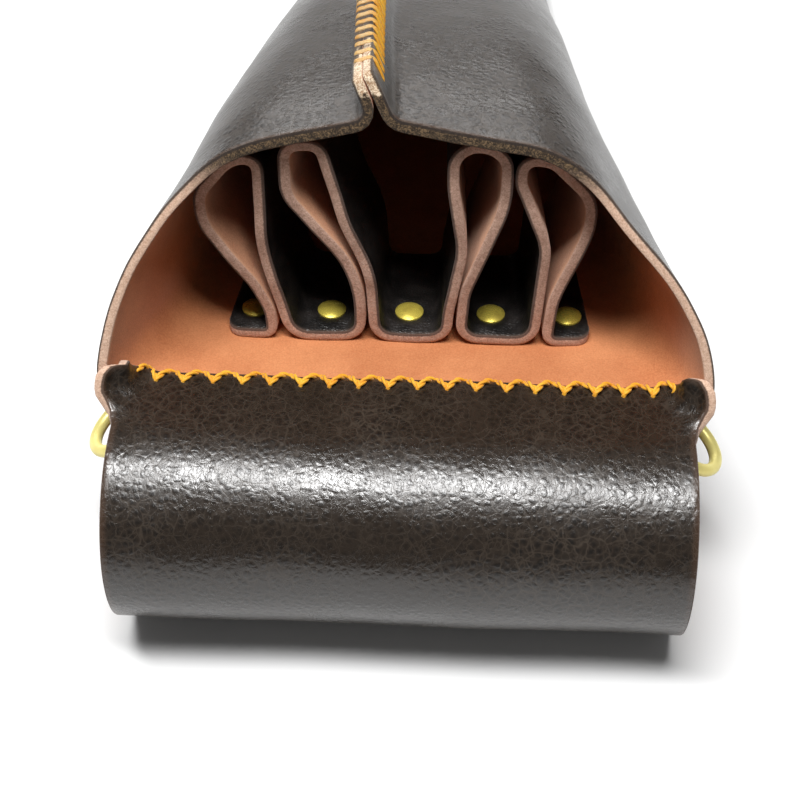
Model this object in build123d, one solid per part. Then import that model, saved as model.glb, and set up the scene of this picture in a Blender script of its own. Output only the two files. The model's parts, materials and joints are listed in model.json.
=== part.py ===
"""Leather scissor pouch, lying on its back with its mouth towards -Y.

One wrapped sheet makes the pouch, closed by a standing whip-stitched seam along its front. A riveted
strip with four standing loops divides its mouth, a sewn flap rolls forward and back under it as the
belt loop, and a D-ring hangs in a riveted tab at each side. Sizes are in millimetres.

Every piece is drawn in the pouch's own directions: X across, Y along the pouch from the back edge of
its mouth, and Z up from the outer face of its back panel. At the end the whole pouch is laid down.
"""

import math
import os

from build123d import *

# leather, thread and the slack between pieces
leather = 2.0
strip_leather = 2.3
tab_leather = 1.5
thread = 0.9
lay_gap = 0.1
fold_gap = 0.3
thread_gap = 0.2
thread_top_gap = 0.3

# pouch body
body_length = 200.0
mouth_half_width = 62.5
tip_half_width = 32.5
width_fall = 2.5
corner_radius = 10.0
left_side_height = 29.5
right_side_height = 24.0
left_shoulder_x = 35.8
right_shoulder_x = 31.5
tip_shoulder_x = 20.0
shoulder_height = 52.0
shoulder_radius = 26.0
tip_shoulder_radius = 7.8
side_bend_share = 0.98
roof_height = 57.5
height_fall = 2.4
rim_set_back = 0.4
tip_fold = 0.3
tip_crown = 0.3
tip_flat = 12.0
tip_corner_slack = 0.03
body_stations = 14

# standing seam along the front
seam_x = -4.0
seam_drift = -6.0
seam_lean = 25.0
fin_height = 7.8
fin_tip_height = 3.6
fin_root_radius = 1.6
fin_full_share = 0.33
fin_stitch_pitch = 3.4
fin_stitch_depth = 3.6
fin_stitch_start = 30.0
fin_stitch_end = 166.0

# flap that rolls under the pouch as its belt loop
flap_lap = 9.5
flap_half_width = 57.0
flap_end_half_width = 40.0
flap_flat_half_width = 48.8
flap_curls = [(6.9, 65.0), (7.5, 71.5), (9.7, 42.0), (20.7, 23.0)]
roll_radius = 22.5
roll_start_y = -6.0
roll_straight = 0.3
flap_rise_angle = 45.0
flap_rise_radius = 18.0
flap_end_y = 66.0
flap_stitch_pitch = 5.8
flap_stitch_reach = 2.3
flap_stitch_count = 16
flap_stitch_bend = 0.55

# divider strip with its standing loops
strip_front_y = 24.0
strip_width = 28.0
strip_far_spread = 0.93
strip_far_height = 0.92
strip_left_x = -38.2
strip_right_x = 38.2
strip_corner_radius = 3.5

# double-cap rivets
cap_radius = 3.0
cap_rise = 1.2
cap_edge = 0.35
cap_floor = 0.3
post_radius = 1.2
post_fit = 0.05
post_hole_gap = 0.15
seat_gap = 0.05
flush_head_height = 0.6
drill_depth = 12.0
divider_rivet_x = [-33.3, -16.8, 0.0, 17.6, 34.1]
divider_rivet_back = 7.0
flap_rivet_x = [-30.0, -10.0, 10.0, 30.0]
flap_rivet_inset = 8.0

# D-rings and their tabs
wire_radius = 1.3
ring_inner_width = 12.0
ring_reach = 13.0
ring_corner_radius = 2.0
ring_droop = 35.0
ring_y = 4.5
ring_bar_x = 54.3
bar_gap = 0.15
tab_width = 10.0
tab_inner_x = 38.0
tab_rivet_x = 42.5
tab_step_x = 47.5
tab_step_run = 3.0
tab_step_radius = 1.6
tab_fold_gap = 0.11

# seam across the flat tip
tip_stitch_inset = 7.0
tip_stitch_pitch = 5.0
tip_stitch_length = 3.4
tip_stitch_margin = 4.0


def meet(a, b, c, d):
    """Point where the line through a and b crosses the line through c and d."""
    run = (b[0] - a[0], b[1] - a[1])
    other = (d[0] - c[0], d[1] - c[1])
    cross = run[0] * other[1] - run[1] * other[0]
    share = ((c[0] - a[0]) * other[1] - (c[1] - a[1]) * other[0]) / cross
    return (a[0] + share * run[0], a[1] + share * run[1])


def moved_left(a, b, distance):
    """Both ends of the segment from a to b, moved to its left."""
    length = math.dist(a, b)
    step = (-(b[1] - a[1]) / length * distance, (b[0] - a[0]) / length * distance)
    return (a[0] + step[0], a[1] + step[1]), (b[0] + step[0], b[1] + step[1])


def beside(points, radii, distance):
    """The same bent line, drawn a distance to its left, with every bend still parallel."""
    lines = [moved_left(a, b, distance) for a, b in zip(points, points[1:])]
    corners = [meet(*one, *two) for one, two in zip(lines, lines[1:])]
    bends = []
    for before, here, after, radius in zip(points, points[1:], points[2:], radii):
        run = (here[0] - before[0], here[1] - before[1])
        turn = (after[0] - here[0], after[1] - here[1])
        turns_left = run[0] * turn[1] - run[1] * turn[0] > 0
        bends.append(radius - distance if turns_left else radius + distance)
    return FilletPolyline(lines[0][0], *corners, lines[-1][1], radius=bends)


def sheet_section(points, radii, near, far, plane):
    """Section of a bent sheet whose two sides lie near and far to the left of the given line."""
    one = beside(points, radii, near)
    two = beside(points, radii, far)
    ends = [Line(one @ 0, two @ 0), Line(one @ 1, two @ 1)]
    return plane * make_face([*one.edges(), *two.edges(), *ends])


def across(y):
    """Plane square to the pouch at y, with its own X across and its own Y up."""
    return Plane(origin=(0, y, 0), x_dir=(1, 0, 0), z_dir=(0, -1, 0))


def blend(start, end, share):
    return start + (end - start) * share


STANDING = (Align.CENTER, Align.CENTER, Align.MIN)
hole_radius = post_radius + post_hole_gap


def drilled(piece, places):
    """The piece with a hole for a rivet's post at each place."""
    for x, y in places:
        piece -= Pos(x, y, 0) * Cylinder(hole_radius, drill_depth)
    return piece


# rivet places, shared by every piece that a rivet goes through

strip_base = leather + lay_gap + strip_leather / 2
tab_stack = 2 * (lay_gap + tab_leather)


def divider_rivet_places():
    spread = blend(1, strip_far_spread, divider_rivet_back / strip_width)
    return [(x * spread, strip_front_y + divider_rivet_back) for x in divider_rivet_x]


def flap_rivet_places():
    return [(x, flap_end_y - flap_rivet_inset) for x in flap_rivet_x]


def tab_rivet_places():
    return [(-tab_rivet_x, ring_y), (tab_rivet_x, ring_y)]


# pouch body

tip_stack = 2 * (leather + tip_fold)


def half_width(y):
    return blend(tip_half_width, mouth_half_width, (1 - y / body_length) ** width_fall)


def fullness(y):
    """1 where the pouch stands open, falling to 0 where its tip is pressed flat."""
    return 1 - min(1, y / (body_length - tip_flat)) ** height_fall


def seam_foot(y):
    drift = 1 - (1 - y / body_length) ** 2
    height = blend(tip_stack + tip_crown, roof_height, fullness(y))
    return (seam_x + seam_drift * drift, height)


def seam_top(y):
    """Upper end of the standing seam's middle line."""
    lean = math.radians(seam_lean)
    height = blend(fin_tip_height, fin_height, min(1, fullness(y) / fin_full_share))
    foot = seam_foot(y)
    return (foot[0] - height * math.sin(lean), foot[1] + height * math.cos(lean))


def side_radius(side, shoulder, foot, corner, shoulders):
    """Round from the upright side into the slope above it that leaves both its neighbours their place."""
    slope = math.atan2(shoulder[1] - side[1], abs(shoulder[0] - side[0]))
    roof = math.atan2(foot[1] - shoulder[1], abs(foot[0] - shoulder[0]))
    slope_left = math.dist(side, shoulder) - shoulders * math.tan((slope - roof) / 2)
    reach = side_bend_share * min(side[1] - corner, slope_left)
    return reach / math.tan((math.pi / 2 - slope) / 2)


def body_section(y):
    """The wrapped sheet at y, drawn from one edge of its seam round to the other."""
    full = fullness(y)
    half = half_width(y)
    foot = seam_foot(y)
    fin_side = leather + fold_gap / 2
    left_fin = moved_left(foot, seam_top(y), fin_side)
    right_fin = moved_left(foot, seam_top(y), -fin_side)
    shoulder = blend(tip_stack + tip_crown / 2, shoulder_height, full)
    inward = 1 - (y / body_length) ** 2
    left_shoulder = (-blend(tip_shoulder_x, left_shoulder_x, inward), shoulder)
    right_shoulder = (blend(tip_shoulder_x, right_shoulder_x, inward), shoulder)
    left_side = (-half, blend(tip_stack, left_side_height, full))
    right_side = (half, blend(tip_stack, right_side_height, full))
    points = [
        left_fin[1],
        meet(left_shoulder, foot, *left_fin),
        left_shoulder,
        left_side,
        (-half, 0),
        (half, 0),
        right_side,
        right_shoulder,
        meet(right_shoulder, foot, *right_fin),
        right_fin[1],
    ]
    corner = blend(tip_stack / 2 - tip_corner_slack, corner_radius, full)
    shoulders = blend(tip_shoulder_radius, shoulder_radius, full)
    left_bend = side_radius(left_side, left_shoulder, foot, corner, shoulders)
    right_bend = side_radius(right_side, right_shoulder, foot, corner, shoulders)
    radii = [fin_root_radius, shoulders, left_bend, corner]
    radii += [corner, right_bend, shoulders, fin_root_radius]
    return sheet_section(points, radii, 0, leather, across(y))


def pouch_body():
    open_length = body_length - tip_flat
    spacing = open_length / (body_stations - 2)
    places = [spacing * n for n in range(body_stations - 1)] + [body_length]
    body = loft([body_section(y) for y in places], ruled=True)
    body = split(body, bisect_by=Plane(origin=(0, 0, 0), z_dir=(0, 1, -rim_set_back)), keep=Keep.TOP)
    body = drilled(body, divider_rivet_places() + flap_rivet_places() + tab_rivet_places())
    seat = Cylinder(cap_radius + seat_gap, 2 * flush_head_height)
    for x, y in tab_rivet_places():
        body -= Pos(x, y, leather) * seat
    return body


# divider strip

# each loop: its left foot on the base as (x, radius), the bends of its wall up, over and down again as
# (x, height, radius), and its right foot
loops = [
    ((-28.5, 1.7),
     [(-28.8, 9.2, 10), (-31.5, 16.2, 20), (-41.3, 31, 12), (-41.3, 38.2, 6), (-35.4, 45.4, 7),
      (-29.2, 48.2, 2.8), (-29.5, 25, 40)],
     (-24.5, 4.6)),
    ((-10, 3.7),
     [(-10, 19.9, 28), (-24.2, 38.3, 9), (-24.1, 50.1, 3.2), (-17, 50.1, 3.1), (-12.6, 31.9, 30),
      (-7.7, 19.5, 22)],
     (-6.8, 3.8)),
    ((7.9, 3.8),
     [(8.3, 10.5, 30), (10.9, 26, 20), (8.6, 41, 30), (8.6, 50.3, 4.5), (19, 50.3, 4.8),
      (19.1, 37.2, 24), (11.6, 15.3, 20)],
     (10.9, 3.6)),
    ((26.1, 4),
     [(27.5, 27.8, 15), (21.6, 42.3, 8), (21.8, 48.1, 2.7), (27.8, 47.4, 5), (35.8, 38.9, 8),
      (35.8, 31.6, 18), (29.7, 13.8, 20)],
     (29, 2)),
]


def loop_bends(left_foot, wall, right_foot, spread, height):
    """Bends of one loop, drawn smaller by the strip's far spread and height."""
    bends = [(left_foot[0] * spread, strip_base, left_foot[1] * spread)]
    bends += [(x * spread, z * height, radius * spread) for x, z, radius in wall]
    return bends + [(right_foot[0] * spread, strip_base, right_foot[1] * spread)]


def strip_section(y, spread, height):
    bends = []
    for loop in loops:
        bends += loop_bends(*loop, spread, height)
    start = (strip_left_x * spread, strip_base)
    end = (strip_right_x * spread, strip_base)
    points = [start, *[(x, z) for x, z, radius in bends], end]
    radii = [radius for x, z, radius in bends]
    return sheet_section(points, radii, -strip_leather / 2, strip_leather / 2, across(y))


def divider_strip():
    front = strip_section(strip_front_y, 1, 1)
    far = strip_section(strip_front_y + strip_width, strip_far_spread, strip_far_height)
    strip = loft([front, far], ruled=True)
    upright = strip.edges().filter_by(Axis.Z)
    corners = upright.filter_by(lambda edge: abs(edge.center().Z - strip_base) < lay_gap)
    return drilled(fillet(corners, strip_corner_radius), divider_rivet_places())


# belt flap

flap_top = 2 * leather + lay_gap
flap_front_y = roll_start_y - roll_radius
roll_centre_z = flap_top - roll_radius


def flap_roll():
    """The flap from where it leaves the mouth, round the roll and up to its riveted end."""
    rise = math.radians(flap_rise_angle)
    bottom = flap_top - 2 * roll_radius - roll_straight
    turn_y = roll_start_y + roll_straight + roll_radius * math.tan(rise / 2)
    end = -lay_gap - leather
    landing_y = turn_y + (end - bottom) / math.tan(rise)
    points = [
        (roll_start_y, flap_top),
        (flap_front_y - roll_straight, flap_top),
        (flap_front_y - roll_straight, bottom),
        (turn_y, bottom),
        (landing_y, end),
        (flap_end_y, end),
    ]
    radii = [roll_radius, roll_radius, roll_radius, flap_rise_radius]
    side_on = Plane(origin=(0, 0, 0), x_dir=(0, 1, 0), z_dir=(1, 0, 0))
    section = sheet_section(points, radii, 0, leather, side_on)
    return extrude(section, flap_half_width, both=True)


def flap_wing():
    """Right edge of the flap, curled up the corner of the mouth and flattening onto the roll."""
    middle = flap_top - leather / 2
    places = [flap_lap, flap_lap / 2, 0, roll_start_y / 2]
    sections = []
    for y, (radius, angle) in zip(places, flap_curls):
        centre = (flap_flat_half_width, middle + radius)
        upper = CenterArc(centre, radius - leather / 2, -90, angle)
        lower = CenterArc(centre, radius + leather / 2, -90, angle)
        ends = [Line(upper @ 0, lower @ 0), Line(upper @ 1, lower @ 1)]
        sections.append(across(y) * make_face([upper.edge(), lower.edge(), *ends]))
    flat_width = flap_half_width - flap_flat_half_width
    flat = Pos(flap_flat_half_width + flat_width / 2, middle) * Rectangle(flat_width, leather)
    sections.append(across(roll_start_y) * flat)
    return loft(sections, ruled=True)


def flap_taper():
    """What is cut from the right side of the flap behind the roll, where it narrows to its end."""
    outside = 2 * flap_half_width
    past_end = 2 * flap_end_y
    outline = Polyline(
        (flap_half_width, roll_start_y),
        (outside, roll_start_y),
        (outside, past_end),
        (flap_end_half_width, past_end),
        (flap_end_half_width, flap_end_y),
        close=True,
    )
    return extrude(make_face(outline), 2 * roll_centre_z - roll_radius)


def belt_flap():
    lap_length = flap_lap - roll_start_y
    plate = Pos(0, roll_start_y + lap_length / 2, flap_top - leather / 2) * Box(
        2 * flap_flat_half_width, lap_length, leather
    )
    wing = flap_wing()
    flap = flap_roll() + plate + wing + mirror(wing, about=Plane.YZ)
    taper = flap_taper()
    flap = flap - taper - mirror(taper, about=Plane.YZ)
    return drilled(flap, flap_rivet_places())


# rivets

def dome(radius, height):
    """Low rivet cap standing on the origin, with an upright edge and a rounded top."""
    edge = min(cap_edge, height / 2)
    rim = Polyline((0, height), (0, 0), (radius, 0), (radius, edge))
    crown = TangentArc((0, height), (radius, edge), tangent=(1, 0))
    outline = make_face([*rim.edges(), crown.edge()])
    return revolve(Plane.XZ * outline, Axis.Z)


def rivet_cap(place, seat, end):
    post_length = seat + seat_gap - end
    post = Pos(0, 0, -post_length) * Cylinder(post_radius, post_length + cap_edge / 2, align=STANDING)
    return Pos(*place, seat + seat_gap) * (dome(cap_radius, cap_rise) + post)


def rivet_base(place, seat):
    socket = Cylinder(post_radius + post_fit, cap_rise - cap_floor, align=STANDING)
    return Pos(*place, seat - seat_gap) * Rot(X=180) * (dome(cap_radius, cap_rise) - socket)


def flush_head(place, end):
    head = Pos(0, 0, leather - flush_head_height) * Cylinder(cap_radius, flush_head_height, align=STANDING)
    post = Pos(0, 0, end) * Cylinder(post_radius, leather - end, align=STANDING)
    return Pos(*place, 0) * (head + post)


def post_end(seat):
    """Lower end of a post, just short of the bottom of the socket under the seat."""
    return seat - seat_gap - (cap_rise - cap_floor) + seat_gap


# D-rings and their tabs

tab_upper_z = -lay_gap - tab_leather / 2
tab_lower_z = tab_upper_z - tab_leather - lay_gap
tab_fold_radius = wire_radius + bar_gap + tab_leather / 2
tab_fold_drop = 2 * tab_fold_radius + tab_fold_gap
ring_bar_z = tab_upper_z - tab_fold_drop / 2


def right_ring():
    """D-ring with its straight bar along Y, hanging outwards and down from the bar."""
    half = ring_inner_width / 2 + wire_radius
    shoulder = ring_reach - wire_radius - half
    bar = FilletPolyline((shoulder, -half), (0, -half), (0, half), (shoulder, half), radius=ring_corner_radius)
    bow = ThreePointArc((shoulder, half), (shoulder + half, 0), (shoulder, -half))
    path = Wire([*bar.edges(), bow.edge()])
    section = Plane(origin=bow @ 0.5, z_dir=bow % 0.5) * Circle(wire_radius)
    half_ring = sweep(section, path)
    return Pos(ring_bar_x, ring_y, ring_bar_z) * Rot(Y=ring_droop) * half_ring


def right_tab():
    outer_x = ring_bar_x + tab_fold_radius
    lowest = tab_upper_z - tab_fold_drop
    points = [
        (tab_inner_x, tab_upper_z),
        (outer_x, tab_upper_z),
        (outer_x, lowest),
        (tab_step_x + tab_step_run, lowest),
        (tab_step_x, tab_lower_z),
        (tab_inner_x, tab_lower_z),
    ]
    radii = [tab_fold_radius, tab_fold_radius, tab_step_radius, tab_step_radius]
    section = sheet_section(points, radii, -tab_leather / 2, tab_leather / 2, across(ring_y))
    tab = extrude(section, tab_width / 2, both=True)
    return drilled(tab, tab_rivet_places()[1:])


# sewing thread

def fin_stitch(y):
    """One turn of the whip stitch over the standing seam, open at its two ends."""
    top = seam_top(y)
    foot = seam_foot(y)
    height = math.dist(foot, top)
    up = ((top[0] - foot[0]) / height, (top[1] - foot[1]) / height)
    crest = (top[0] + up[0] * thread_top_gap, top[1] + up[1] * thread_top_gap)
    low = (top[0] - up[0] * fin_stitch_depth, top[1] - up[1] * fin_stitch_depth)
    side = leather + fold_gap / 2 + thread_gap
    left = moved_left(low, crest, side)
    right = moved_left(low, crest, -side)
    line = [left[0], left[1], right[1], right[0]]
    section = sheet_section(line, [thread / 2] * 2, 0, thread, across(y))
    return extrude(section, thread / 2, both=True)


def front_seam_thread():
    count = int((fin_stitch_end - fin_stitch_start) / fin_stitch_pitch) + 1
    return Compound(children=[fin_stitch(fin_stitch_start + n * fin_stitch_pitch) for n in range(count)])


def flap_seam_thread():
    """Zigzag over the flap's cut edge, from the flap down onto the pouch and back."""
    start = -flap_stitch_count * flap_stitch_pitch / 2
    line = []
    for n in range(2 * flap_stitch_count + 1):
        side = -1 if n % 2 == 0 else 1
        line.append((start + n * flap_stitch_pitch / 2, flap_lap + side * flap_stitch_reach))
    bends = [flap_stitch_bend] * (len(line) - 2)
    section = sheet_section(line, bends, -thread / 2, thread / 2, Plane.XY)
    return Pos(0, 0, flap_top + thread_gap) * extrude(section, thread)


def tip_seam_thread():
    """Running stitches through the flat tip, one row above and one below."""
    y = body_length - tip_stitch_inset
    count = int((half_width(y) - tip_stitch_margin) / tip_stitch_pitch)
    foot = seam_foot(y)[0] - fin_tip_height / 2
    upper = tip_stack + tip_crown + thread_gap + thread / 2
    lower = -thread_gap - thread / 2
    stitches = []
    for n in range(-count, count + 1):
        x = n * tip_stitch_pitch
        stitch = Box(tip_stitch_length, thread, thread)
        stitches.append(Pos(x, y, lower) * stitch)
        if abs(x - foot) > tip_stitch_margin + tip_stitch_length:
            stitches.append(Pos(x, y, upper) * stitch)
    return Compound(children=stitches)


# whole pouch

def rivet_rows():
    """Caps and bases of every rivet, by name."""
    pieces = {}
    strip_top = strip_base + strip_leather / 2
    for n, place in enumerate(divider_rivet_places(), 1):
        pieces[f"divider_rivet_cap_{n}"] = rivet_cap(place, strip_top, post_end(0))
        pieces[f"divider_rivet_base_{n}"] = rivet_base(place, 0)
    flap_face = -lay_gap - leather
    for n, place in enumerate(flap_rivet_places(), 1):
        pieces[f"flap_rivet_cap_{n}"] = rivet_cap(place, leather, post_end(flap_face))
        pieces[f"flap_rivet_base_{n}"] = rivet_base(place, flap_face)
    for side, place in zip(("left", "right"), tab_rivet_places()):
        pieces[f"{side}_tab_rivet_cap"] = flush_head(place, post_end(-tab_stack))
        pieces[f"{side}_tab_rivet_base"] = rivet_base(place, -tab_stack)
    return pieces


def pouch_pieces():
    ring = right_ring()
    tab = right_tab()
    pieces = {
        "pouch_body": pouch_body(),
        "divider_strip": divider_strip(),
        "belt_flap": belt_flap(),
        "right_d_ring": ring,
        "left_d_ring": mirror(ring, about=Plane.YZ),
        "right_ring_tab": tab,
        "left_ring_tab": mirror(tab, about=Plane.YZ),
        "front_seam_thread": front_seam_thread(),
        "flap_seam_thread": flap_seam_thread(),
        "tip_seam_thread": tip_seam_thread(),
    }
    return pieces | rivet_rows()


def resting_tilt():
    """Angle about X that brings the roll and the tip down onto one level surface."""
    back = body_length - roll_start_y
    down = -roll_centre_z
    return -math.degrees(math.atan2(down, back) + math.asin(roll_radius / math.hypot(back, down)))


def laid_down(pieces):
    """Every piece turned onto the resting surface, with the origin under the middle of the pouch."""
    turned = {name: Rot(X=resting_tilt()) * piece for name, piece in pieces.items()}
    box = Compound(list(turned.values())).bounding_box()
    centre = box.center()
    return {name: Pos(-centre.X, -centre.Y, -box.min.Z) * piece for name, piece in turned.items()}


pieces = laid_down(pouch_pieces())
os.makedirs("parts", exist_ok=True)
for name, piece in pieces.items():
    export_step(piece, f"parts/{name}.step")
    print(f"{name}: {len(piece.solids())} solids, {piece.volume:.0f} mm3")
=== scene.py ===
import json
import math

import bpy
import numpy as np
from mathutils import Matrix, Vector, noise


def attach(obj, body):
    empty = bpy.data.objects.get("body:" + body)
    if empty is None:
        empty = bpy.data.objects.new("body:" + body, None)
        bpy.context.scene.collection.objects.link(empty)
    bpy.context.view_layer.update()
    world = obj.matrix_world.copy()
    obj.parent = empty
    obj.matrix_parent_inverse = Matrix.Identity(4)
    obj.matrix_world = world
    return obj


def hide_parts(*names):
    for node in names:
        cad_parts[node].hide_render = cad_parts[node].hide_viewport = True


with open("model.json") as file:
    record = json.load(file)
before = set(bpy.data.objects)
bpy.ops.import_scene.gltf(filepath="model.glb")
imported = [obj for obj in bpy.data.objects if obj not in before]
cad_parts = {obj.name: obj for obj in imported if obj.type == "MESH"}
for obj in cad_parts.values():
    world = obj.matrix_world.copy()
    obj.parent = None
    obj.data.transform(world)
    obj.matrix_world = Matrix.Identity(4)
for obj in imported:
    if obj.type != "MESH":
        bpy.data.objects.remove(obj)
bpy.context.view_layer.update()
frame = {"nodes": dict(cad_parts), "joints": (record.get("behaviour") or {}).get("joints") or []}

# How the pouch lies. Everything below is drawn in the pouch's own millimetres: x across, y along it from
# the back edge of its mouth, z up from the outer face of its back panel. The bar of the right ring,
# which is its hinge, is a known place in them, so the hinge says where they are in the frame.
ring_bar_place = np.array((54.3, 4.5, -3.105))

hinge = next(joint for joint in frame["joints"] if joint["name"] == "ring_right_swing")
along = np.array(hinge["axis"])
across = np.array((1.0, 0.0, 0.0))
directions = np.array((across, along, np.cross(across, along)))
origin = np.array(hinge["pos_m"]) - ring_bar_place / 1000 @ directions


def laid_down(points):
    """Points in the pouch's own millimetres, where the pouch lies, in metres."""
    return origin + np.asarray(points, float) / 1000 @ directions


# The camera looks down into the mouth from close by, a little right of the pouch's middle line.
camera_place = (9.7, -226.6, 211.4)
camera_pitch = 42.0
camera_yaw = 2.6
picture_width = 800
focal_pixels = 1550

camera = bpy.data.objects.new("camera", bpy.data.cameras.new("camera"))
bpy.context.scene.collection.objects.link(camera)
camera.data.lens = camera.data.sensor_width * focal_pixels / picture_width
yaw, pitch = math.radians(camera_yaw), math.radians(camera_pitch)
forward = np.array((-math.sin(yaw) * math.cos(pitch), math.cos(yaw) * math.cos(pitch), -math.sin(pitch)))
rightward = np.array((math.cos(yaw), math.sin(yaw), 0))
turned = np.array((rightward, np.cross(rightward, forward), -forward)) @ directions
camera.matrix_world = Matrix.Translation(laid_down(camera_place)) @ Matrix(turned.T.tolist()).to_4x4()
bpy.context.scene.camera = camera
bpy.context.scene.view_settings.view_transform = "Standard"


# The wrapped sheet: one piece of pebbled leather, dark on its grain side and tan suede on its flesh side,
# rolled into a sleeve that stands open at the mouth and is pressed flat at the tip. Its two long edges
# stand up side by side as the seam. Its cut edges are raw, pinkish and a little furry.
leather = 2.0
pouch_length = 200.0
mouth_half, tip_half, width_fall = 62.5, 32.5, 2.5
side_heights = (29.5, 24.0)
shoulder_places = (35.8, 31.5)
tip_shoulder = 20.0
shoulder_height, roof_height = 52.0, 57.5
shoulder_round, tip_shoulder_round = 26.0, 7.8
mouth_corner, tip_corner = 10.0, 2.27
tip_stack = 4.6
tip_crown = 0.3
flat_tip = 12.0
height_fall = 2.4
rim_set_back = 0.4
seam_foot_x, seam_drift, seam_lean = -4.0, -6.0, math.radians(25)
seam_height, tip_seam_height, seam_root_round = 7.8, 3.6, 1.6
seam_gap = 0.3


def meeting(a, b, c, d):
    """Where the line through a and b meets the line through c and d."""
    a, b, c, d = (np.array(p, float) for p in (a, b, c, d))
    run, other = b - a, d - c
    share = ((c - a)[0] * other[1] - (c - a)[1] * other[0]) / (run[0] * other[1] - run[1] * other[0])
    return a + share * run


def rounded(corners, radii, steps=10):
    """The bent line through the corners, each inner corner rounded to its radius."""
    line = [np.array(corners[0], float)]
    for before, here, after, radius in zip(corners, corners[1:], corners[2:], radii):
        before, here, after = (np.array(p, float) for p in (before, here, after))
        back, on = before - here, after - here
        back, on = back / np.linalg.norm(back), on / np.linalg.norm(on)
        half = math.acos(np.clip(back @ on, -1, 1)) / 2
        middle = (back + on) / np.linalg.norm(back + on)
        centre = here + middle * radius / math.sin(half)
        first = here + back * radius / math.tan(half) - centre
        last = here + on * radius / math.tan(half) - centre
        turn = math.pi - 2 * half
        for share in np.linspace(0, 1, steps):
            arm = (math.sin((1 - share) * turn) * first + math.sin(share * turn) * last) / math.sin(turn)
            line.append(centre + arm)
    return np.array(line + [np.array(corners[-1], float)])


def even(line, count, ease=0.0):
    """The line at even steps along its length, its bends eased over a few millimetres."""
    steps = np.linalg.norm(np.diff(line, axis=0), axis=1)
    walked = np.concatenate(([0], np.cumsum(steps)))
    places = np.linspace(0, walked[-1], count)
    points = np.stack([np.interp(places, walked, part) for part in line.T], axis=1)
    if not ease:
        return points
    reach = int(3 * ease / places[1]) + 1
    weights = np.exp(-0.5 * (np.arange(-reach, reach + 1) * places[1] / ease) ** 2)
    weights /= weights.sum()
    before = 2 * points[0] - points[reach:0:-1]
    after = 2 * points[-1] - points[-2:-reach - 2:-1]
    padded = np.concatenate((before, points, after))
    return np.stack([np.convolve(part, weights, "valid") for part in padded.T], axis=1)


def leftward(line):
    """Unit directions to the left of a line of (x, z) points."""
    run = np.gradient(line, axis=0)
    run /= np.linalg.norm(run, axis=1, keepdims=True)
    return np.stack((-run[:, 1], run[:, 0]), axis=1)


def mix(start, end, share):
    return start + (end - start) * share


def eased(share):
    """A share between 0 and 1 that starts and ends slowly."""
    share = np.clip(share, 0, 1)
    return share * share * (3 - 2 * share)


def fullness(y):
    """1 where the pouch stands open, falling to 0 where its tip is pressed flat."""
    return 1 - min(1, y / (pouch_length - flat_tip)) ** height_fall


def seam_line(y):
    """Foot and top of the standing seam's middle line at y."""
    drift = 1 - (1 - y / pouch_length) ** 2
    foot = np.array((seam_foot_x + seam_drift * drift, mix(tip_stack + tip_crown, roof_height, fullness(y))))
    height = mix(tip_seam_height, seam_height, min(1, 3 * fullness(y)))
    return foot, foot + height * np.array((-math.sin(seam_lean), math.cos(seam_lean)))


def pouch_section(y, count):
    """Outer line of the sheet at y, from the left edge of its seam round to the right one."""
    full = fullness(y)
    half = mix(tip_half, mouth_half, (1 - y / pouch_length) ** width_fall)
    foot, top = seam_line(y)
    side = (leather + seam_gap / 2) * np.array((math.cos(seam_lean), math.sin(seam_lean)))
    shoulder = mix(tip_stack + tip_crown / 2, shoulder_height, full)
    inward = 1 - (y / pouch_length) ** 2
    left, right = [mix(tip_shoulder, place, inward) for place in shoulder_places]
    left_side, right_side = [mix(tip_stack, height, full) for height in side_heights]
    corner = mix(tip_corner, mouth_corner, full)
    corners = [
        top - side,
        meeting((-left, shoulder), foot, foot - side, top - side),
        (-left, shoulder),
        (-half, left_side),
        (-half, 0),
        (half, 0),
        (half, right_side),
        (right, shoulder),
        meeting((right, shoulder), foot, foot + side, top + side),
        top + side,
    ]
    shoulders = mix(tip_shoulder_round, shoulder_round, full)
    bends = []
    for height, place in ((left_side, left), (right_side, right)):
        slope = math.atan2(shoulder - height, half - place)
        roof = math.atan2(foot[1] - shoulder, place - abs(foot[0]))
        slope_left = math.hypot(shoulder - height, half - place) - shoulders * math.tan((slope - roof) / 2)
        bends.append(0.98 * min(height - corner, slope_left) / math.tan((math.pi / 2 - slope) / 2))
    radii = [seam_root_round, shoulders, bends[0], corner, corner, bends[1], shoulders, seam_root_round]
    return even(rounded(corners, radii), count, ease=1.0)


def unevenness(points, size, depth):
    """How far a hand-made sheet strays from its drawn shape at each point, in millimetres."""
    flat = points.reshape(-1, 3) / size
    return depth * np.array([noise.noise(Vector(p)) for p in flat]).reshape(points.shape[:-1])


def hand_made(grain, flesh, *waves):
    """Both sides of a sheet, moved together through its thickness by waves of a size and a depth."""
    thick = grain - flesh
    thick /= np.linalg.norm(thick, axis=2, keepdims=True)
    stray = sum(unevenness(grain, size, depth) for size, depth in waves)[..., None] * thick
    return grain + stray, flesh + stray


edge_profile = [(0.0, 0.0), (0.03, 0.12), (0.12, 0.22), (0.3, 0.28), (0.5, 0.3), (0.7, 0.28), (0.88, 0.22),
                (0.97, 0.12), (1.0, 0.0)]


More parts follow.
